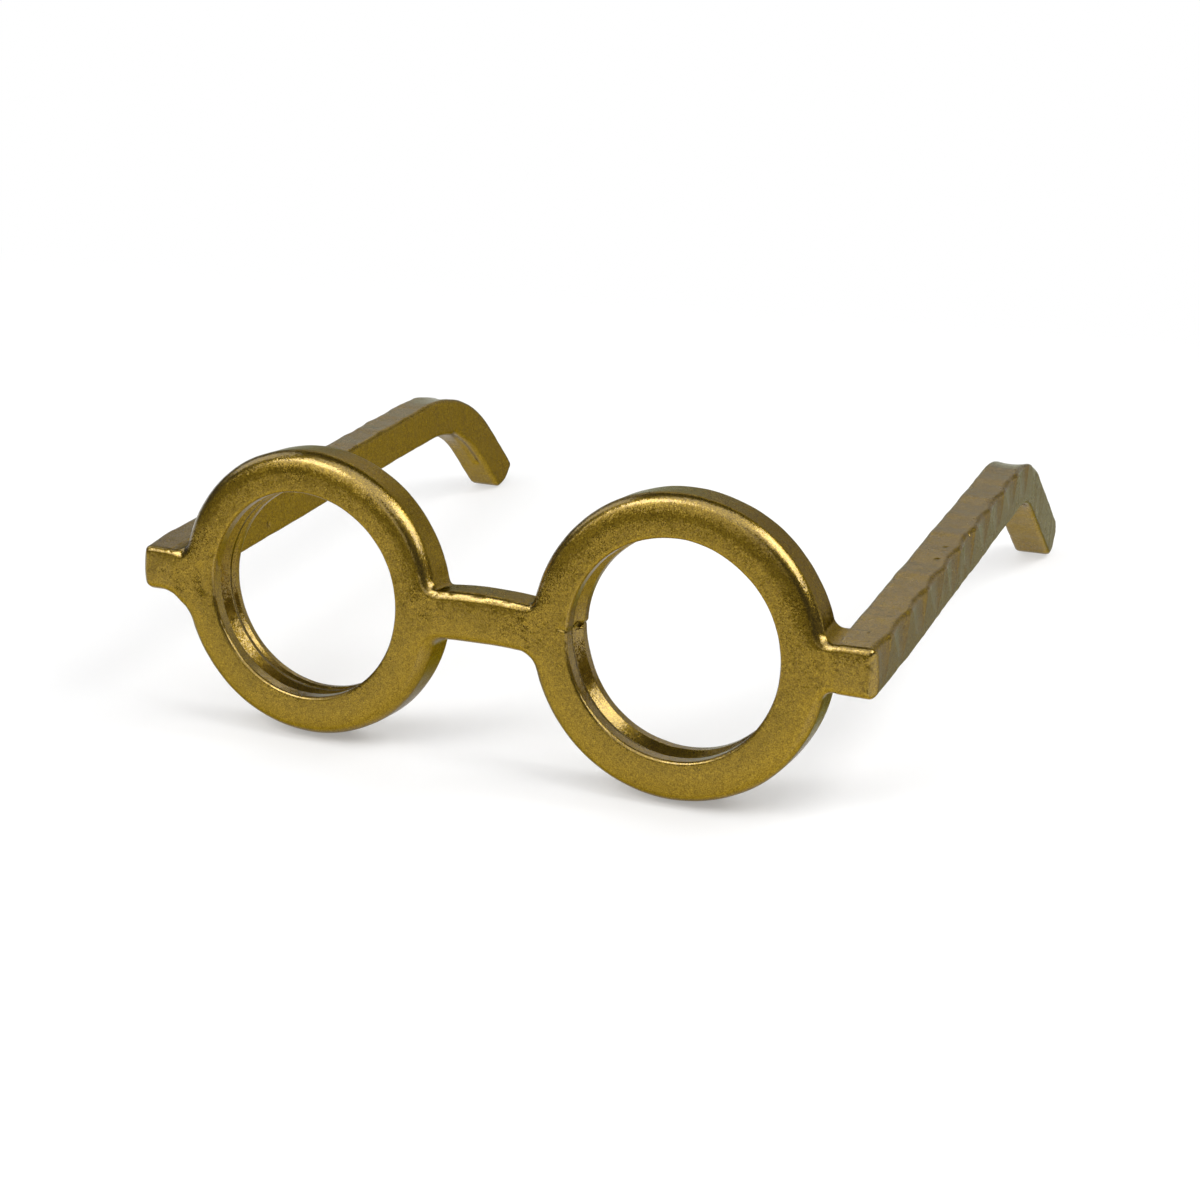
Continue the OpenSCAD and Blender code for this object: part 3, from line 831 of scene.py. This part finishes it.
def studio_white():
    """White paper. Low and far behind the object the camera and reflections see it as plain white."""
    n = Nodes("studio_white")
    n.fill(n.shader, {"Base Color": (0.94, 0.94, 0.94, 1), "Roughness": 0.9})
    path = n.add("ShaderNodeLightPath").outputs
    seen = n.math("MAXIMUM", path["Is Camera Ray"], path["Is Glossy Ray"])
    seen = n.math("MAXIMUM", seen, path["Is Transmission Ray"])
    place = n.split(n.place)
    far = n.spread(place["Y"], (-0.1, 0.5), (0.3, 1))
    low = n.spread(place["Z"], (0.35, 0.9), (1, 0))
    white = n.add("ShaderNodeEmission", {"Strength": 1.0})
    blend = n.add("ShaderNodeMixShader")
    n.link(n.math("MULTIPLY", seen, n.math("MULTIPLY", far, low)), blend.inputs["Fac"])
    n.link(n.shader.outputs["BSDF"], blend.inputs[1])
    n.link(white.outputs["Emission"], blend.inputs[2])
    n.link(blend.outputs["Shader"], n.tree.nodes["Material Output"].inputs["Surface"])
    return n.material


# The studio, in metres
FLOOR_WIDTH = 6.0
FLOOR_FRONT, FLOOR_BACK = -1.6, 2.2
BACKDROP_H = 2.4
BACKDROP_BEND = 0.8
BEND_POINTS = 25
WORLD_GREY = 0.08

# Soft boxes: name, place, the point that they shine at, width, depth and watts
FRONT_MIDDLE = (0, -0.1, 0.05)
MIDDLE = (0, -0.05, 0.05)
LAMPS = [
    ("front_left", (-0.52, -0.73, 0.93), FRONT_MIDDLE, 0.55, 0.55, 4.6),
    ("front_left_low", (-0.72, -1.02, 0.6), FRONT_MIDDLE, 0.65, 0.42, 1.2),
    ("fill", (-0.31, -1.2, 0.75), FRONT_MIDDLE, 1.2, 0.8, 2.8),
    ("right", (0.8, -0.08, 0.86), MIDDLE, 0.5, 0.75, 5.1),
    ("right_behind", (0.78, 0.37, 0.87), MIDDLE, 0.5, 0.6, 5.2),
    ("left", (-1.1, 0.1, 0.8), MIDDLE, 0.7, 0.7, 1.8),
    ("ceiling", (0.2, -0.5, 1.7), (0, -0.05, 0), 1.8, 1.6, 12),
    ("backdrop", (-1.0, 0.8, 1.7), (-1.2, 2.2, 0.9), 1.4, 0.5, 36),
]

# The photograph's camera, worked out from the outlines of the rims, bridge and temples
CAMERA_AZIMUTH = radians(25.52)
CAMERA_ELEVATION = radians(23.20)
CAMERA_ROLL = radians(-2.57)
CAMERA_TARGET = Vector((0.0301, -0.09746, 0.05457))
CAMERA_DISTANCE = 0.7494
CAMERA_LENS = 59.87
CAMERA_CLIP = (0.05, 20)


def sweep_floor():
    """A floor that curves up into a backdrop."""
    bend = BACKDROP_BEND
    outline = [(FLOOR_FRONT, 0.0)]
    for angle in np.linspace(0, pi / 2, BEND_POINTS):
        outline.append((FLOOR_BACK - bend + bend * sin(angle), bend * (1 - cos(angle))))
    outline.append((FLOOR_BACK, BACKDROP_H))
    points = [(x, y, z) for y, z in outline for x in (-FLOOR_WIDTH / 2, FLOOR_WIDTH / 2)]
    faces = [(2 * i, 2 * i + 1, 2 * i + 3, 2 * i + 2) for i in range(len(outline) - 1)]
    mesh = bpy.data.meshes.new("floor")
    mesh.from_pydata(points, [], faces)
    mesh.shade_smooth()
    mesh.materials.append(studio_white())
    floor = bpy.data.objects.new("floor", mesh)
    bpy.context.scene.collection.objects.link(floor)


def lamp(name, place, aim, width, depth, watts):
    """A soft box that shines from one point towards another."""
    light = bpy.data.lights.new(name, "AREA")
    light.shape = "RECTANGLE"
    light.size, light.size_y = width, depth
    light.energy = watts
    lamp_object = bpy.data.objects.new(name, light)
    lamp_object.location = place
    lamp_object.rotation_euler = (Vector(aim) - Vector(place)).to_track_quat("-Z", "Y").to_euler()
    bpy.context.scene.collection.objects.link(lamp_object)


def photo_camera():
    """A camera at its distance from the target, turned about its line of sight by its roll."""
    azimuth, elevation, roll = CAMERA_AZIMUTH, CAMERA_ELEVATION, CAMERA_ROLL
    back = Vector((sin(azimuth) * cos(elevation), -cos(azimuth) * cos(elevation), sin(elevation)))
    level = Vector((cos(azimuth), sin(azimuth), 0))
    right = level * cos(roll) + back.cross(level) * sin(roll)
    camera = bpy.data.cameras.new("camera")
    camera.lens = CAMERA_LENS
    camera.clip_start, camera.clip_end = CAMERA_CLIP
    camera_object = bpy.data.objects.new("camera", camera)
    turn = Matrix((right, back.cross(right), back)).transposed().to_4x4()
    camera_object.matrix_world = Matrix.Translation(CAMERA_TARGET + back * CAMERA_DISTANCE) @ turn
    bpy.context.scene.collection.objects.link(camera_object)
    bpy.context.scene.camera = camera_object


paint = gold_paint()
vertices, normals, faces_of = voxel_mesh()
for node_name in NODES:
    part = make_piece(node_name + "_painted", vertices, normals, *faces_of[node_name], paint)
    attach(part, "root")
    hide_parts(node_name)

sweep_floor()
for settings in LAMPS:
    lamp(*settings)
photo_camera()

world = bpy.data.worlds.new("world")
world.use_nodes = True
world.node_tree.nodes["Background"].inputs["Color"].default_value = (WORLD_GREY, WORLD_GREY, WORLD_GREY, 1)
bpy.context.scene.world = world
bpy.context.scene.view_settings.view_transform = "Standard"
